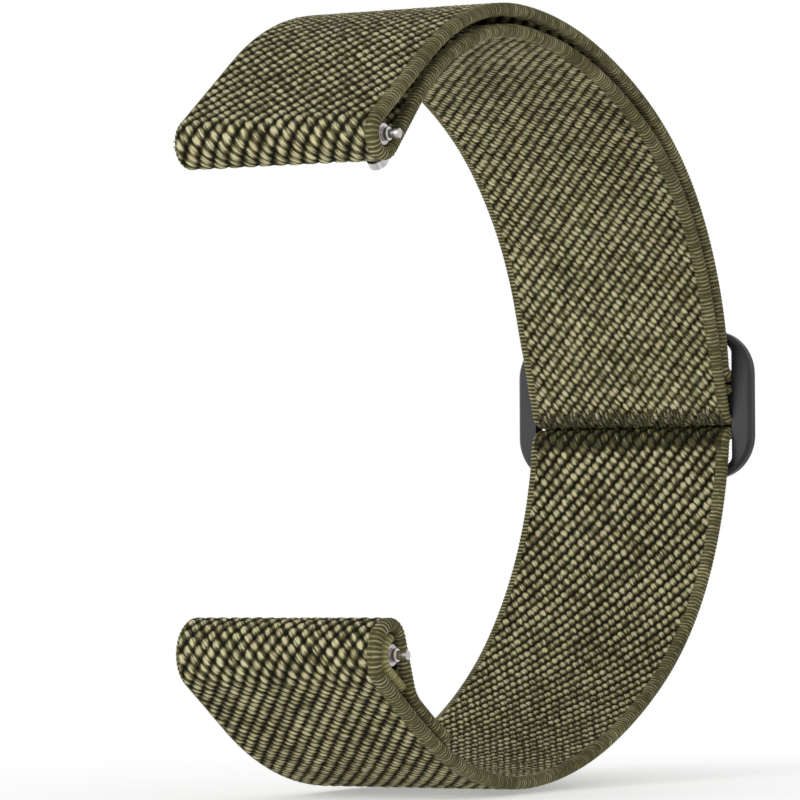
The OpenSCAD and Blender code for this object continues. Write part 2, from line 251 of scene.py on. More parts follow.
def follow(route, stations):
    """Points and unit headings at the stations along a route. Mirrored ones count backwards."""
    rounding = 1e-9
    travel = route.side * stations
    points = np.zeros((len(stations), 2))
    angles = np.zeros(len(stations))
    place = np.array(route.start, float)
    heading = route.heading
    travelled = 0.0
    for length, turn in route.stretches:
        inside = (travel >= travelled - rounding) & (travel <= travelled + length + rounding)
        along = travel[inside] - travelled
        angles[inside] = heading + (turn * along / length if turn else 0.0)
        points[inside] = place + stretch_offset(heading, length, turn, along)
        place = place + stretch_offset(heading, length, turn, np.array([length]))[0]
        heading += turn
        travelled += length
    headings = np.stack([np.cos(np.radians(angles)), np.sin(np.radians(angles))], 1)
    if route.side < 0:
        points[:, 1] *= -1
        headings[:, 0] *= -1
    return points, headings


def lay_on(route, x, s, n):
    """Places in millimetres: x across the strap, s along it, n out from its middle."""
    points, headings = follow(route, np.ravel(s))
    y = points[:, 0].reshape(s.shape) + n * headings[:, 1].reshape(s.shape)
    z = points[:, 1].reshape(s.shape) - n * headings[:, 0].reshape(s.shape)
    return np.stack(np.broadcast_arrays(x, y, z), -1)


def crest(own_angle):
    """Where the strap crosses the middle of the slider's centre bar, and its heading there."""
    return BACK_CENTRE + (FRAME_MID + PASS_MID) * ray(own_angle), 90 + own_angle


UPPER_RUN = slider_to_bar(SLIDER_ANGLE, CORNER_RADIUS, BAR_LEAD)
LOWER_RUN = slider_to_bar(-SLIDER_ANGLE, LOWER_RADIUS, LOWER_LEAD)
UPPER_TURN, LOWER_TURN = upper_turn(), lower_turn()
INNER_RUN, FOLD_TURN = inner_run()
ANCHOR_FOLD = anchor_fold(FOLD_TURN)
UPPER_ROUTE = Route(*crest(SLIDER_ANGLE), UPPER_RUN + UPPER_TURN + INNER_RUN + ANCHOR_FOLD, 1)
LOWER_ROUTE = Route(*crest(-SLIDER_ANGLE), LOWER_RUN + LOWER_TURN, -1)
STRIP_START = UPPER_BAR + STRIP_MID * ray(CORNER_END) + STRIP_LEAD * ray(CORNER_END - 90)
STRIP_ROUTE = Route(
    STRIP_START, CORNER_END + 90, [line(STRIP_LEAD), left(STRIP_MID, STRIP_TURN)], -1)

UPPER_LENGTH = route_length(UPPER_RUN + UPPER_TURN)
UPPER_TOTAL = route_length(UPPER_ROUTE.stretches)
LOWER_TOTAL = route_length(LOWER_ROUTE.stretches)
STRIP_TOTAL = route_length(STRIP_ROUTE.stretches)
FOLD_BEND = UPPER_TOTAL - route_length(ANCHOR_FOLD)
FOLD_START = FOLD_BEND - FOLD_LENGTH
UPPER_LEVER = route_length(UPPER_RUN + UPPER_TURN[:1])
# The strip sets the lower ply off the bar, so its lever comes out past the end of the turn
LOWER_TURN_ON = math.radians(LOWER_TURN[1][1])
LOWER_LEVER = -(route_length(LOWER_RUN + LOWER_TURN[:2]) + STRIP_ROOM * math.sin(LOWER_TURN_ON))
LOWER_CREASE_SHADE_AT = -route_length(LOWER_RUN[:4])


# Weave: a lattice of yarn floats in rows that rise to the right. In a row one float follows
# another by next_x and next_t, and the next row lies beside it by row_x and row_t. Half_long and
# half_wide are a float's half sizes, and lean is its slant to the left in degrees. Sample is the
# spacing of the mesh's columns, and selvage the width of the ribbed edge on the left and right.
Weave = namedtuple(
    "Weave", "next_x next_t row_x row_t half_long half_wide lean sample selvage")
SKIN_WEAVE = Weave(0.395, 0.41, 0.40, -0.85, 0.50, 0.36, 38, 0.09, (0.7, 0.8))
LOWER_SKIN_WEAVE = Weave(0.38, 0.51, 0.95, -0.51, 0.54, 0.41, 40, 0.09, (0.7, 0.8))
UPPER_WEAVE = Weave(0.389, 0.545, 0.904, -0.794, 0.62, 0.41, 50, 0.1, (0.35, 0.9))
LOWER_WEAVE = Weave(0.479, 0.59, 0.746, -0.648, 0.53, 0.44, 46, 0.1, (0.35, 0.9))
HIDDEN_WEAVE = UPPER_WEAVE._replace(sample=0.22)
FLOAT_HEIGHT = 0.19
FLOAT_LEAST, FLOAT_VARIES = 0.9, 0.16
JITTER = 0.11
SHADE_POWER = 1.4

# Ribs of the selvage: relief, and painted shade: how dark the hollows are painted and how much
# lighter the tops
ROWS_PER_RIB = 3
RIB_BASE, RIB_HEIGHT = 0.09, 0.07
LEFT_RIB_SHADE = (0.28, 0.66)
RIGHT_RIB_SHADE = (0.5, 0.32)
SELVAGE_FADE = 0.15

# The section's rounded edges, and the spacing of rows and columns
EDGE_INSET, EDGE_SWELL, EDGE_TURN = 0.1, 0.1, 75
FACE_END = WIDTH / 2 - PLY / 2 + EDGE_INSET
ROW_STEP = 0.12
EDGE_STEP = 0.12
EDGE_COLUMNS = 7
RIGHT_SELVAGE_STEPS = 5
LEAST_STEP = 0.02

# The strap spreads by this share towards the slider: it starts so many degrees off and is done
# after the span
SLIDER_FLARE = 0.036
FLARE_FROM, FLARE_SPAN = 75, 40
# The lower length is painted darker by this share where it goes into the slot, a painted shade in
# the crease, and the shade clears in the reach
CREASE_SHADE_DEPTH, CREASE_SHADE_REACH = 0.42, 0.55


def scatter(i, k, salt):
    """A number from 0 to 1 that looks random but is always the same for one i, k and salt."""
    return np.modf(np.abs(np.sin(i * 12.9898 + k * 78.233 + salt) * 43758.5453))[0]


def yarn_floats(x, t, weave):
    """At x across and t up a face: a float's height, its tone, and the place within it."""
    lean = math.radians(weave.lean)
    area = weave.next_x * weave.row_t - weave.next_t * weave.row_x
    near_i = np.round((x * weave.row_t - t * weave.row_x) / area)
    near_k = np.round((t * weave.next_x - x * weave.next_t) / area)
    height, tone, across, along = np.zeros((4,) + x.shape)
    for i_step in (-1, 0, 1):
        for k_step in (-1, 0, 1):
            i, k = near_i + i_step, near_k + k_step
            dx = x - i * weave.next_x - k * weave.row_x + JITTER * (scatter(i, k, 1) - 0.5)
            dt = t - i * weave.next_t - k * weave.row_t + JITTER * (scatter(i, k, 2) - 0.5)
            wide = dx * math.cos(lean) + dt * math.sin(lean)
            long = dt * math.cos(lean) - dx * math.sin(lean)
            room = 1 - (long / weave.half_long) ** 2 - (wide / weave.half_wide) ** 2
            full = FLOAT_LEAST + FLOAT_VARIES * scatter(i, k, 3)
            dome = np.sqrt(np.maximum(room, 0)) * full
            top = dome > height
            height = np.where(top, dome, height)
            tone = np.where(top, scatter(i, k, 4), tone)
            across = np.where(top, wide, across)
            along = np.where(top, long, along)
    return height, tone, across, along


def face_stations(weave):
    """Places across one face of the strap, from its left selvage to its right one."""
    first, last = weave.selvage[0] - WIDTH / 2, WIDTH / 2 - weave.selvage[1]
    start = max(first, -FACE_END + LEAST_STEP)
    left_edge = np.arange(-FACE_END, start - LEAST_STEP / 2, EDGE_STEP)
    middle = np.linspace(start, last, int(round((last - start) / weave.sample)))
    cut = LEVER_X + np.array([-1, 1]) * (LEVER_SLOT / 2 + LEVER_CUT)
    right_edge = np.linspace(last, FACE_END, RIGHT_SELVAGE_STEPS + 1)[1:]
    return np.concatenate([left_edge, np.sort(np.r_[middle, cut]), right_edge])


def section_columns(x, n, out_x, out_n, kind):
    return np.stack(np.broadcast_arrays(x, n, out_x, out_n, kind)).astype(float)


def strap_section(front_weave, back_weave):
    """The strap's cross section as columns: x, height off the middle, outward direction, kind.

    Kind is 1 on the face that shows outside, -1 on the other face and 0 on the edges.
    """
    half = PLY / 2 - FLOAT_HEIGHT
    turn = np.radians(np.linspace(EDGE_TURN, -EDGE_TURN, EDGE_COLUMNS))
    edge_x = FACE_END + (WIDTH / 2 - FACE_END) * np.cos(turn)
    edge_n = (half + EDGE_SWELL) * np.sin(turn)
    right_edge = section_columns(edge_x, edge_n, np.cos(turn), np.sin(turn), 0)
    left_edge = section_columns(-edge_x, edge_n, -np.cos(turn), np.sin(turn), 0)[:, ::-1]
    front = section_columns(face_stations(front_weave), half, 0, 1, 1)
    back = section_columns(face_stations(back_weave), -half, 0, -1, -1)[:, ::-1]
    return np.concatenate([front, right_edge, back, left_edge], 1)


def rows_between(start, end):
    """Row places from start to end, on the same grid all along the strap."""
    first = math.ceil(start / ROW_STEP + 1e-6)
    last = math.floor(end / ROW_STEP - 1e-6)
    inner = np.arange(first, last + 1) * ROW_STEP
    apart = (inner > start + LEAST_STEP) & (inner < end - LEAST_STEP)
    return np.concatenate([[start], inner[apart], [end]])


def flare(route, stations):
    """The strap's width over its plain width: it spreads a little towards the slider."""
    points = follow(route, stations)[0] - BACK_CENTRE
    angle = np.abs(np.degrees(np.arctan2(points[:, 1], points[:, 0])))
    near = np.clip((FLARE_FROM - angle) / FLARE_SPAN, 0, 1)
    return 1 + SLIDER_FLARE * near * near * (3 - 2 * near)


def face_relief(x, t, kind, weaves):
    """Height, tone and place within the yarn on both faces, and nothing on the edges."""
    found = np.zeros((4,) + t.shape)
    for face, weave in zip((1, -1), weaves):
        picked = kind == face
        found[:, :, picked] = yarn_floats(x[:, picked], t[:, picked], weave)
    return found


def selvage_share(x, kind, weaves):
    """How far each column is ribbed edge: 1 at the selvage, 0 on the weave."""
    share = np.ones(len(x))
    for face, weave in zip((1, -1), weaves):
        inwards = np.maximum(weave.selvage[0] - WIDTH / 2 - x, x + weave.selvage[1] - WIDTH / 2)
        share = np.where(kind == face, np.clip(inwards / SELVAGE_FADE + 1, 0, 1), share)
    return share


# Painted shade of the selvage ribs: darker in their hollows, lighter on their tops; the left edge's
# hollows are painted darker than the right's
def rib_shade(x, rib):
    left_dark, left_rise = LEFT_RIB_SHADE
    right_dark, right_rise = RIGHT_RIB_SHADE
    return np.where(x > 0, right_dark + right_rise * rib, left_dark + left_rise * rib)


def outside_opening(x, kind, stations, lever_at):
    """Which cells between rows and columns the opening for the release lever leaves in place."""
    mid_x = (x + np.roll(x, -1)) / 2
    mid_s = (stations[:-1] + stations[1:]) / 2
    open_x = np.abs(mid_x - LEVER_X) < LEVER_SLOT / 2 + LEVER_CUT + LEAST_STEP / 2
    open_s = np.abs(mid_s - lever_at) < LEVER_HALF + LEVER_CUT
    return ~(open_s[:, None] & open_x & (kind != 0))


def strap_mesh(name, route, start, end, weaves, thickness, lever_at=None, crease_shade_at=None):
    """A woven strip along a route, with its floats and ribs as real relief.

    Weaves has the outer face's and the other face's. Thickness takes the stations and gives the
    ply's thickness there. Where lever_at is given, the opening for the release lever is left out
    there. Where a crease station is given, the skin side is painted in shade from there on into
    the slot, a painted shade for the crease that clears just before.
    """
    x, n, out_x, out_n, kind = strap_section(*weaves)
    stations = rows_between(start, end)
    shape = (len(stations), len(x))
    s = stations[:, None]
    wide = np.broadcast_to(x, shape)
    rib_number = s / (ROWS_PER_RIB * ROW_STEP)
    rib = np.broadcast_to(0.5 + 0.5 * np.cos(2 * math.pi * rib_number), shape)
    height, tone, across, along = face_relief(wide, np.where(kind < 0, s, -s), kind, weaves)
    selvage = selvage_share(x, kind, weaves)
    # Painted shade from the relief: darkest in the gaps, lightest as painted highlights on the
    # crests of the floats; the selvage takes the ribs' painted shade
    lift = height ** SHADE_POWER * (1 - selvage) + rib_shade(x, rib) * selvage
    if crease_shade_at is not None:
        # Painted shade in the crease: the skin side darkens towards the slot
        crease_shade = np.exp(-(np.maximum(crease_shade_at - s, 0) / CREASE_SHADE_REACH) ** 2)
        lift = lift * np.where(kind < 0, 1 - CREASE_SHADE_DEPTH * crease_shade, 1)
    proud = FLOAT_HEIGHT * height * (1 - selvage) + (RIB_BASE + RIB_HEIGHT * rib) * selvage
    proud = np.where(kind == 0, RIB_HEIGHT * rib, proud)
    ribbed = selvage > 0.5
    across = np.where(ribbed, s, across)
    along = np.where(ribbed, wide + n, along)
    tone = np.where(ribbed, scatter(np.round(rib_number), 0, 5), tone)
    thin = (thickness(stations) / PLY)[:, None]
    spread = flare(route, stations)[:, None]
    vertices = lay_on(route, spread * (x + proud * out_x), np.broadcast_to(s, shape),
                      thin * (n + proud * out_n)) * MM
    kept = None
    if lever_at is not None:
        kept = outside_opening(x, kind, stations, lever_at)
    mesh = grid_mesh(name, vertices, kept, capped=True)
    write_values(mesh, shape, lift=lift, tone=tone, calm=selvage)
    write_yarn(mesh, shape, across, along, 7 * tone)
    around = np.cumsum(np.r_[0, np.hypot(np.diff(x), np.diff(n))])
    write_uv(mesh, shape, around, s)
    return mesh


def grid_mesh(name, vertices, kept=None, capped=False):
    """Quads between rows of points, closed round each row. Capped adds a flat face at each end.

    Kept says which quads are made, where that isn't all of them.
    """
    rows, columns = vertices.shape[:2]
    i = np.arange(rows - 1)[:, None] * columns
    j = np.arange(columns)[None, :]
    k = (j + 1) % columns
    quads = np.stack([i + j, i + columns + j, i + columns + k, i + k], 2)
    if kept is not None:
        quads = quads[kept]
    quads = quads.reshape(-1, 4)
    loops = [quads.reshape(-1)]
    starts = [np.arange(len(quads)) * 4]
    if capped:
        loops += [np.arange(columns), (rows - 1) * columns + np.arange(columns)[::-1]]
        starts += [len(quads) * 4 + np.array([0, columns])]
    loops, starts = np.concatenate(loops), np.concatenate(starts)
    mesh = bpy.data.meshes.new(name)
    mesh.vertices.add(rows * columns)
    mesh.vertices.foreach_set("co", vertices.reshape(-1))
    mesh.loops.add(len(loops))
    mesh.loops.foreach_set("vertex_index", loops)
    mesh.polygons.add(len(starts))
    mesh.polygons.foreach_set("loop_start", starts)
    mesh.polygons.foreach_set("use_smooth", np.ones(len(starts), bool))
    mesh.update(calc_edges=True)
    mesh.validate()
    return mesh


# The writers below spread what they are given over the shape: the mesh's rows and columns
def write_values(mesh, shape, **values):
    """The painted shade runs from dark in the hollows to light on the tops, tone differs by yarn,
    calm is 1 on the selvage.
    """
    for name, numbers in values.items():
        attribute = mesh.attributes.new(name, "FLOAT", "POINT")
        spread = np.broadcast_to(numbers, shape).astype(np.float32)
        attribute.data.foreach_set("value", spread.reshape(-1))


def write_yarn(mesh, shape, across, along, seed):
    """The place within a yarn, in millimetres: across it, along it, and which yarn it is."""
    attribute = mesh.attributes.new("yarn", "FLOAT_VECTOR", "POINT")
    places = np.stack([np.broadcast_to(part, shape) for part in (across, along, seed)], -1)
    attribute.data.foreach_set("vector", places.astype(np.float32).reshape(-1))


def write_uv(mesh, shape, u, v):
    """A UV map in millimetres over ten, so that the pattern rides with the strap."""
    layer = mesh.uv_layers.new(name="weave")
    index = np.zeros(len(mesh.loops), int)
    mesh.loops.foreach_get("vertex_index", index)
    places = np.stack([np.broadcast_to(part, shape).reshape(-1)[index] for part in (u, v)], 1)
    layer.data.foreach_set("uv", places.reshape(-1) / 10)


def add_object(mesh, material):
    piece = bpy.data.objects.new(mesh.name, mesh)
    bpy.context.scene.collection.objects.link(piece)
    mesh.materials.append(material)
    return piece


# Colours and materials. Filaments are finer than this in truth; at this size they just show.
FILAMENT_MM, FILAMENT_STRETCH = 0.11, 0.12
# Yarns with other seeds lie this far apart in the noise, so that no two have the same filaments
SEED_STEP = 40.0
# Most of a noise texture's values lie between these two
NOISE_LOW, NOISE_HIGH = 0.3, 0.7
# How far filaments, and broad patches, go lighter or darker than the shade of the relief
STREAK, DRIFT = 0.27, 0.06
# A wave texture of scale 1 repeats at this distance, in metres
WAVE_PERIOD = 2 * math.pi / 20


def linear(code):
    """An sRGB hex colour as the linear colour that the shader takes."""
    channels = [int(code[i:i + 2], 16) / 255 for i in (1, 3, 5)]
    return [c / 12.92 if c <= 0.04045 else ((c + 0.055) / 1.055) ** 2.4 for c in channels] + [1]


def add_node(tree, kind, settings=None, links=None):
    """Adds a node, sets its fields or its inputs' values, and links its inputs."""
    made = tree.nodes.new(kind)
    for key, value in (settings or {}).items():
        if hasattr(made, str(key)):
            setattr(made, key, value)
        else:
            made.inputs[key].default_value = value
    for key, source in (links or {}).items():
        tree.links.new(source, made.inputs[key])
    return made


def new_material(name):
    material = bpy.data.materials.new(name)
    material.use_nodes = True
    tree = material.node_tree
    tree.nodes.clear()
    return material, tree


def finish_material(tree, shader):
    output = add_node(tree, "ShaderNodeOutputMaterial")
    tree.links.new(shader.outputs[0], output.inputs["Surface"])


def ramp(tree, factor, stops):
    made = add_node(tree, "ShaderNodeValToRGB", links={"Fac": factor})
    elements = made.color_ramp.elements
    while len(elements) < len(stops):
        elements.new(0.5)
    for element, (place, code) in zip(elements, stops):
        element.position = place
        element.color = linear(code)
    return made.outputs["Color"]


def attribute_node(tree, name):
    return add_node(tree, "ShaderNodeAttribute", {"attribute_name": name})


def noise(tree, place, scale, detail):
    return add_node(tree, "ShaderNodeTexNoise", {"Scale": scale, "Detail": detail},
                    {"Vector": place}).outputs["Fac"]


def map_range(tree, value, low, high, from_low=0.0, from_high=1.0):
    return add_node(
        tree, "ShaderNodeMapRange",
        {"From Min": from_low, "From Max": from_high, "To Min": low, "To Max": high},
        {"Value": value}).outputs["Result"]


def reckon(tree, operation, first, second):
    return add_node(tree, "ShaderNodeMath", {"operation": operation},
                    {0: first, 1: second}).outputs["Value"]


def bump(tree, height, strength, depth_mm):
    return add_node(tree, "ShaderNodeBump", {"Strength": strength, "Distance": depth_mm * MM},
                    {"Height": height}).outputs["Normal"]


def nylon_webbing(name="woven_nylon_webbing", tops="#bfba99", middles="#545236", gaps="#0d0b02"):
    """Nylon yarn woven over rubber: matt floats of fine filaments, with painted shade: dark gaps
    between them and painted highlights on their crests.
    """
    material, tree = new_material(name)
    lift = attribute_node(tree, "lift").outputs["Fac"]
    tone = attribute_node(tree, "tone").outputs["Fac"]
    calm = attribute_node(tree, "calm").outputs["Fac"]
    yarn = attribute_node(tree, "yarn").outputs["Vector"]
    uv = add_node(tree, "ShaderNodeUVMap", {"uv_map": "weave"}).outputs["UV"]
    filament_scale = (1 / FILAMENT_MM, FILAMENT_STRETCH / FILAMENT_MM, SEED_STEP)
    filament_map = add_node(
        tree, "ShaderNodeMapping", {"Scale": filament_scale}, {"Vector": yarn})
    filament = noise(tree, filament_map.outputs["Vector"], 1.0, 1.0)
    patch = noise(tree, uv, 1.6, 3.0)
    streak = map_range(tree, filament, -STREAK, STREAK, NOISE_LOW, NOISE_HIGH)
    eased = reckon(tree, "MULTIPLY", streak, map_range(tree, calm, 1.0, 0.5))
    drift = map_range(tree, patch, -DRIFT, DRIFT, NOISE_LOW, NOISE_HIGH)
    shade = reckon(tree, "ADD", reckon(tree, "ADD", lift, eased), drift)
    base = ramp(tree, shade, [(0.18, gaps), (0.66, middles), (1.14, tops)])
    tint = ramp(tree, tone, [(0.0, "#ece4d8"), (0.3, "#f8f5ee"), (0.8, "#faf8f0"), (1.0, "#fdfbe6")])
    colour = add_node(tree, "ShaderNodeMixRGB", {"blend_type": "MULTIPLY", "Fac": 1.0},
                      {"Color1": base, "Color2": tint})
    shader = add_node(tree, "ShaderNodeBsdfPrincipled",
                      {"Roughness": 0.7, "Specular IOR Level": 0.1},
                      {"Base Color": colour.outputs["Color"],
                       "Normal": bump(tree, filament, 0.8, 0.06)})
    finish_material(tree, shader)
    return material


def coated_steel():
    """Steel with a satin dark grey coating: fine blasted grain, a little lighter in patches."""
    material, tree = new_material("satin_coated_steel")
    place = add_node(tree, "ShaderNodeTexCoord").outputs["Object"]
    grain = noise(tree, place, 9000.0, 2.0)
    cloud = noise(tree, place, 300.0, 3.0)
    colour = ramp(tree, reckon(tree, "MULTIPLY", grain, cloud), [(0.1, "#1a1a1c"), (0.5, "#2c2c2f")])
    shader = add_node(tree, "ShaderNodeBsdfPrincipled",
                      {"Metallic": 0.15, "Specular IOR Level": 0.3},
                      {"Base Color": colour, "Roughness": map_range(tree, cloud, 0.38, 0.5),
                       "Normal": bump(tree, grain, 0.15, 0.03)})
    finish_material(tree, shader)
    return material


def turned_steel(name="turned_stainless_steel", ring_mm=0.377):
    """Stainless steel off the lathe: bright, with fine rings round the bar, ring_mm apart."""
    material, tree = new_material(name)
    place = add_node(tree, "ShaderNodeTexCoord").outputs["Object"]
    rings = add_node(
        tree, "ShaderNodeTexWave",
        {"bands_direction": "X", "Scale": WAVE_PERIOD / (ring_mm * MM), "Distortion": 0.4},
        {"Vector": place}).outputs["Fac"]
    shader = add_node(tree, "ShaderNodeBsdfPrincipled", {"Metallic": 1.0, "Roughness": 0.28},
                      {"Base Color": ramp(tree, rings, [(0.0, "#b9b4b4"), (1.0, "#d6d2d2")]),
                       "Normal": bump(tree, rings, 0.1, 0.02)})
    finish_material(tree, shader)
    return material


# The three colours are the ramp of painted shade: crests in painted highlight, middles, and gaps in
# painted shade
webbing = nylon_webbing()
binding = nylon_webbing("woven_nylon_strip", "#bcb987", "#85825a", "#2c2912")
thread = nylon_webbing("spun_polyester_thread", "#6a6960", "#45443d", "#1d1c18")
coated = coated_steel()
turned = turned_steel()
wire = turned_steel("drawn_spring_wire", 0.628)


def metal_of(node_name):
    if node_name == "slider_frame":
        return coated
    return wire if "spring" in node_name else turned


for node_name, node in frame["nodes"].items():
    node.data.materials.clear()
    node.data.materials.append(metal_of(node_name))


# The ply's thickness at the stations of each length
def full_ply(stations):
    return np.full(len(stations), PLY)


def strip_ply(stations):
    return np.full(len(stations), STRIP_PLY)


def fold_ply(stations):
    """The inner run's end is pressed thin where it folds round the centre bar."""
    thin = np.clip((stations - FOLD_START) / FOLD_EASE + 0.5, 0, 1)
    return PLY + (FOLD_PLY - PLY) * thin


# Sewing thread: number, pitch across the strap, length along it and radius of its stitches at the
# fold and at the sewn end, the same of the loose filaments, and the whipped edge of an opening
SEAM_COUNT, SEAM_PITCH, SEAM_REACH, SEAM_RADIUS = 42, 0.465, 1.5, 0.085
HEM_COUNT, HEM_PITCH, HEM_REACH, HEM_RADIUS = 34, 0.56, 1.0, 0.1
HEM_SINK, HEM_DIP = 0.03, 0.9
FUZZ_COUNT, FUZZ_SPREAD, FUZZ_REACH, FUZZ_RADIUS = 620, 19.4, 0.7, 0.022
BEAD_TURNS, BEAD_RADIUS, BEAD_ROPE = 34, 0.24, 0.1
THREAD_SINK, THREAD_BOW = 0.02, 0.07
THREAD_TIP, THREAD_TAPER = 0.12, 0.4


def bead_round(name, route, lever_at, thickness):
    """The whipped edge of a lever's opening: thread wound round the cut ply, turn by turn."""
    points_per_turn, around = 5, 12
    u = np.linspace(0, 2 * math.pi, BEAD_TURNS * points_per_turn + 1)[:, None]
    v = np.linspace(0, 2 * math.pi, around, endpoint=False)[None, :]
    shape = (len(u), around)
    wound = np.cos(BEAD_TURNS * u)
    rope = 1 + BEAD_ROPE * wound
    squareness = np.sqrt(np.sqrt(np.cos(u) ** 4 + np.sin(u) ** 4))
    out_x, out_s = np.cos(u) / squareness, np.sin(u) / squareness
    thick = BEAD_RADIUS * rope * np.cos(v)
    x = LEVER_X + out_x * (LEVER_SLOT / 2 + BEAD_RADIUS + thick)
    s = lever_at + out_s * (LEVER_HALF + BEAD_RADIUS + thick)
    n = (thickness / 2 - THREAD_SINK) * rope * np.sin(v)
    mesh = grid_mesh(name, lay_on(route, x, s, n) * MM)
    turn_number = np.round(BEAD_TURNS * u / (2 * math.pi))
    # Painted shade: each turn of the thread is lighter on its crest and darker between turns
    write_values(mesh, shape, lift=0.5 + 0.4 * wound, tone=scatter(turn_number, 0, 6))
    write_yarn(mesh, shape, u * 1.5, v * 0.4, 0.0)
    write_uv(mesh, shape, u, v)
    return mesh


def thread_mesh(name, paths, radii, sides):
    """Many short threads as one mesh. Paths holds each thread's points, in millimetres.

    Askew is a direction that none of them follows, to turn each thread's rings by.
    """
    count, length = paths.shape[:2]
    shape = (count, length, sides)
    askew = (0.36, 0.48, 0.8)
    along = np.gradient(paths, axis=1)
    along /= np.linalg.norm(along, axis=2, keepdims=True)
    first = np.cross(along, askew)
    first /= np.linalg.norm(first, axis=2, keepdims=True)
    second = np.cross(along, first)
    ends = np.sin(np.linspace(THREAD_TIP, math.pi - THREAD_TIP, length)) ** THREAD_TAPER
    turn = np.linspace(0, 2 * math.pi, sides, endpoint=False)[None, None, :, None]
    size = radii[:, None, None, None] * ends[None, :, None, None]
    ring = first[:, :, None] * np.cos(turn) + second[:, :, None] * np.sin(turn)
    vertices = (paths[:, :, None] + ring * size) * MM
    kept = np.ones((count * length - 1, sides), bool)
    kept[length - 1::length] = False
    mesh = grid_mesh(name, vertices.reshape(count * length, sides, 3), kept)
    seed = scatter(np.arange(count), 0, 7)[:, None, None]
    reach = np.linspace(0, 1, length)[None, :, None]
    # Painted shade: each thread is painted darker towards its tapered ends
    write_values(mesh, shape, lift=0.75 * ends[None, :, None], tone=seed)
    write_yarn(mesh, shape, turn[..., 0] * 0.3, reach, 9 * seed)
    write_uv(mesh, shape, reach, seed)
    return mesh


def stitch_row(count, pitch, slant, wander, salt):
    """A row of stitches side by side: their numbers, the way along one, and places across."""
    i = np.arange(count)[:, None]
    u = np.linspace(0, 1, 9)[None, :]
    x = (i - (count - 1) / 2) * pitch + slant * (u - 0.5) + wander * (scatter(i, 0, salt) - 0.5)
    return i, u, x


def seam_stitches():
    """Thread that overcasts the fold round the centre bar, one loop beside the next."""
    i, u, x = stitch_row(SEAM_COUNT, SEAM_PITCH, slant=0.16, wander=0.14, salt=8)
    start = FOLD_BEND - 0.25 - 0.35 * scatter(i, 1, 8)
    s = start + (SEAM_REACH + 0.3 * scatter(i, 2, 8)) * u
    n = FOLD_PLY / 2 - THREAD_SINK + THREAD_BOW * np.sin(math.pi * u) + 0 * i
    radii = SEAM_RADIUS + 0.035 * scatter(i[:, 0], 3, 8)
    return thread_mesh("seam_stitches", lay_on(UPPER_ROUTE, x, s, n), radii, 7)


def seam_fuzz():
    """Broken filaments that stand off the stitched fold."""
    i = np.arange(FUZZ_COUNT)[:, None]
    u = np.linspace(0, 1, 5)[None, :]
    x = FUZZ_SPREAD * (scatter(i, 0, 9) - 0.5) + FUZZ_REACH * (scatter(i, 1, 9) - 0.5) * u
    bow = np.sin(math.pi * (0.35 + 0.65 * scatter(i, 4, 9)) * u)
    s = FOLD_BEND - 0.5 + 1.5 * scatter(i, 2, 9) + 0.6 * (scatter(i, 3, 9) - 0.5) * u
    n = FOLD_PLY / 2 + THREAD_SINK + (0.12 + 0.16 * scatter(i, 5, 9)) * bow
    radii = np.full(FUZZ_COUNT, FUZZ_RADIUS)
    return thread_mesh("seam_fuzz", lay_on(UPPER_ROUTE, x, s, n), radii, 3)


def end_stitches():
    """Thread over the cut end of the ply that is sewn back inside the lower run."""
    i, u, x = stitch_row(HEM_COUNT, HEM_PITCH, slant=0.3, wander=0.1, salt=10)
    s = -LOWER_TOTAL + 0.02 + (HEM_REACH + 0.2 * scatter(i, 1, 10)) * u
    n = PLY / 2 - HEM_SINK + THREAD_BOW * np.sin(math.pi * u) - HEM_DIP * (1 - u) ** 6 + 0 * i
    radii = np.full(HEM_COUNT, HEM_RADIUS)
    return thread_mesh("end_stitches", lay_on(LOWER_ROUTE, x, s, n), radii, 7)


def spring_half(bar, tip, side):
    """Half of a spring, from its middle in the bar to its outer end at the tip."""
    half = bmesh.new()
    half.from_mesh(frame["nodes"][bar + "_spring"].data)
    other = [face for face in half.faces if side * face.calc_center_median().x < 0]
    bmesh.ops.delete(half, geom=other, context="FACES")
    mesh = bpy.data.meshes.new(tip + "_spring")
    half.to_mesh(mesh)
    half.free()
    mesh.materials.clear()
    piece = add_object(mesh, wire)
    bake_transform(piece)
    return piece


def bend_with_slider(piece):
    """Bakes the strap piece's placing into its mesh."""
    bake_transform(piece)


lower = add_object(strap_mesh(
    "strap_lower", LOWER_ROUTE, -LOWER_TOTAL, 0, (LOWER_WEAVE, LOWER_SKIN_WEAVE), full_ply,
    LOWER_LEVER, LOWER_CREASE_SHADE_AT), webbing)
upper = add_object(strap_mesh(
    "strap_upper", UPPER_ROUTE, 0, UPPER_LENGTH, (UPPER_WEAVE, HIDDEN_WEAVE), full_ply,
    UPPER_LEVER), webbing)
inner = add_object(strap_mesh(
    "strap_inner", UPPER_ROUTE, UPPER_LENGTH, UPPER_TOTAL, (SKIN_WEAVE, HIDDEN_WEAVE), fold_ply),
    webbing)
strip = add_object(strap_mesh(
    "tunnel_strip", STRIP_ROUTE, -STRIP_TOTAL, 0, (HIDDEN_WEAVE, HIDDEN_WEAVE), strip_ply),
    binding)
upper_bead = add_object(
    bead_round("upper_opening_edge", UPPER_ROUTE, UPPER_LEVER, PLY), binding)
lower_bead = add_object(
    bead_round("lower_opening_edge", LOWER_ROUTE, LOWER_LEVER, PLY), binding)
stitches = add_object(seam_stitches(), thread)
fuzz = add_object(seam_fuzz(), binding)
hem = add_object(end_stitches(), thread)
bend_with_slider(lower)
bend_with_slider(upper)
bend_with_slider(inner)
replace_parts(lower, "webbing_lower_loop", "webbing_lower_run", "webbing_lower_feed",
            "webbing_slider_pass")
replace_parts(upper, "webbing_upper_feed", "webbing_outer_run", "webbing_upper_loop")
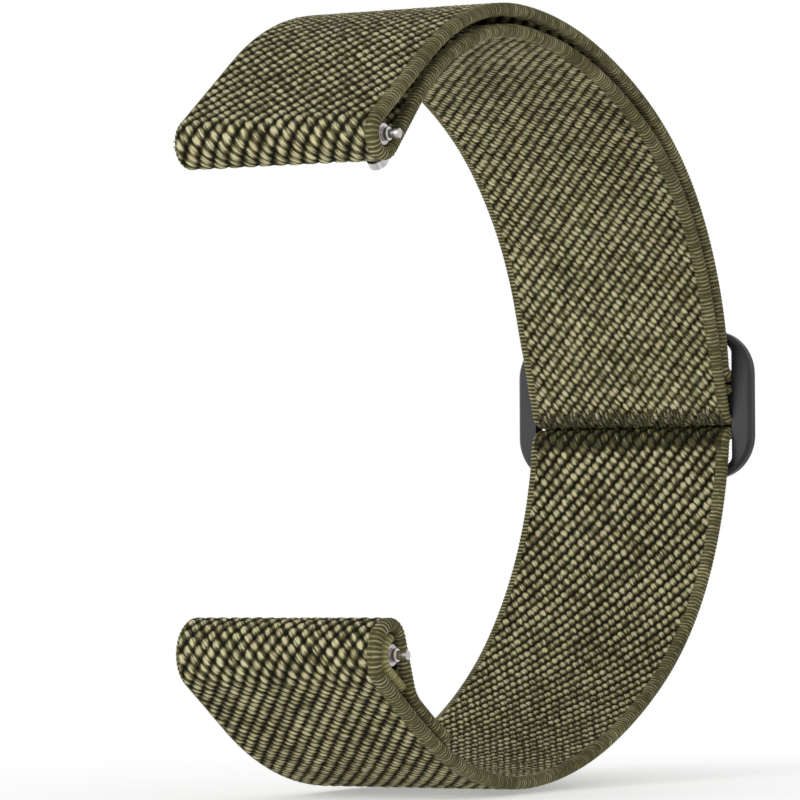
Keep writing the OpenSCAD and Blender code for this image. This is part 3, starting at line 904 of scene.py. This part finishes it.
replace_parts(inner, "webbing_inner_run", "webbing_inner_feed", "webbing_anchor_fold")
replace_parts(strip, "lower_tunnel_strip")
for piece in (lower, upper, inner, strip, upper_bead, lower_bead, hem):
    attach(piece, "band")
for piece in (stitches, fuzz):
    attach(piece, "slider")
for end in ("upper", "lower"):
    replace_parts(spring_half(end + "_bar", end + "_plain_tip", -1), end + "_bar_spring")
    spring_half(end + "_bar", end + "_release_tip", 1)


# Floor and lights, in metres. The floor turns from its own look to plain white between the fades.
FLOOR_SIZE, FLOOR_DROP = 6, 0.0004
FADE_FROM, FADE_TO = 0.03, 0.085
FLOOR_GLOW = 0.35
WORLD_LIGHT = 0.45


def pale_floor():
    """A pale floor. Away from the object the camera sees it as the white background."""
    bpy.ops.mesh.primitive_plane_add(
        size=FLOOR_SIZE, location=(0, 0, cad_box[0].z - FLOOR_DROP))
    floor = bpy.context.object
    floor.name = "floor"
    material, tree = new_material("pale_floor")
    path = add_node(tree, "ShaderNodeLightPath")
    place = add_node(tree, "ShaderNodeTexCoord")
    away = add_node(tree, "ShaderNodeVectorMath", {"operation": "LENGTH"},
                    {0: place.outputs["Object"]})
    fade = map_range(tree, away.outputs["Value"], 0.0, 1.0, FADE_FROM, FADE_TO)
    diffuse = add_node(tree, "ShaderNodeBsdfDiffuse", {"Color": linear("#f4f4f4")})
    glow = add_node(tree, "ShaderNodeEmission", {"Strength": FLOOR_GLOW})
    lit = add_node(tree, "ShaderNodeAddShader", links={0: diffuse.outputs[0], 1: glow.outputs[0]})
    white = add_node(tree, "ShaderNodeEmission", {"Strength": 1.0})
    seen = add_node(tree, "ShaderNodeMixShader",
                    links={0: fade, 1: lit.outputs[0], 2: white.outputs[0]})
    mix = add_node(tree, "ShaderNodeMixShader",
                   links={0: path.outputs["Is Camera Ray"], 1: lit.outputs[0],
                          2: seen.outputs[0]})
    finish_material(tree, mix)
    floor.data.materials.append(material)


def add_light(name, place, target, size, power):
    data = bpy.data.lights.new(name, "AREA")
    data.shape = "SQUARE"
    data.size = size
    data.energy = power
    lamp = bpy.data.objects.new(name, data)
    lamp.location = place
    lamp.rotation_mode = "QUATERNION"
    lamp.rotation_quaternion = (Vector(target) - Vector(place)).to_track_quat("-Z", "Y")
    bpy.context.scene.collection.objects.link(lamp)


def white_world():
    """Soft light from all round. The camera and reflections see it as plain white."""
    world = bpy.data.worlds.new("studio")
    bpy.context.scene.world = world
    world.use_nodes = True
    tree = world.node_tree
    tree.nodes.clear()
    white = linear("#ffffff")
    path = add_node(tree, "ShaderNodeLightPath")
    soft = add_node(tree, "ShaderNodeBackground", {"Color": white, "Strength": WORLD_LIGHT})
    seen = add_node(tree, "ShaderNodeBackground", {"Color": white, "Strength": 1.0})
    direct = reckon(tree, "MAXIMUM", path.outputs["Is Camera Ray"], path.outputs["Is Glossy Ray"])
    mix = add_node(tree, "ShaderNodeMixShader",
                   links={0: direct, 1: soft.outputs[0], 2: seen.outputs[0]})
    output = add_node(tree, "ShaderNodeOutputWorld")
    tree.links.new(mix.outputs[0], output.inputs["Surface"])


# Camera, fitted to the photograph in degrees, millimetres and pixels. The target lies right of
# and above the middle between the bars. The fit had the back arc's centre at its own Y.
AZIMUTH, ELEVATION, ROLL = 31.1, -0.8, -0.9
DISTANCE = 461.5
PIXELS_PER_MM = 11.55
IMAGE_SIDE = 800
SENSOR_WIDTH = 36
TARGET_RIGHT, TARGET_UP = -2.8, -0.18
FITTED_BACK_Y = 4.85


def photo_camera():
    """The camera that shows the band as the photograph does."""
    azimuth, elevation, roll = (math.radians(v) for v in (AZIMUTH, ELEVATION, ROLL))
    back = Vector((math.sin(azimuth) * math.cos(elevation),
                   -math.cos(azimuth) * math.cos(elevation), math.sin(elevation)))
    level = Vector((math.cos(azimuth), math.sin(azimuth), 0))
    upright = back.cross(level)
    right_side = math.cos(roll) * level + math.sin(roll) * upright
    up = -math.sin(roll) * level + math.cos(roll) * upright
    target = TARGET_RIGHT * right_side + TARGET_UP * up
    target += Vector((0, BACK_CENTRE[0] - FITTED_BACK_Y, 0))
    data = bpy.data.cameras.new("camera")
    data.sensor_width = SENSOR_WIDTH
    data.lens = PIXELS_PER_MM * DISTANCE / IMAGE_SIDE * SENSOR_WIDTH
    data.clip_start, data.clip_end = 0.01, 10
    camera = bpy.data.objects.new("camera", data)
    turn = Matrix((right_side, up, back)).transposed().to_4x4()
    camera.matrix_world = Matrix.Translation((target + back * DISTANCE) * MM) @ turn
    bpy.context.scene.collection.objects.link(camera)
    bpy.context.scene.camera = camera


pale_floor()
white_world()
add_light("key", place=(-0.3, -0.5, 0.22), target=(0, 0.03, 0), size=0.35, power=2.0)
add_light("fill", place=(0.5, -0.3, 0.15), target=(0, 0.03, 0), size=0.4, power=0.7)
add_light("low", place=(-0.1, -0.45, 0.03), target=(0, 0, -0.03), size=0.12, power=0.35)
photo_camera()
bpy.context.scene.view_settings.view_transform = "Standard"
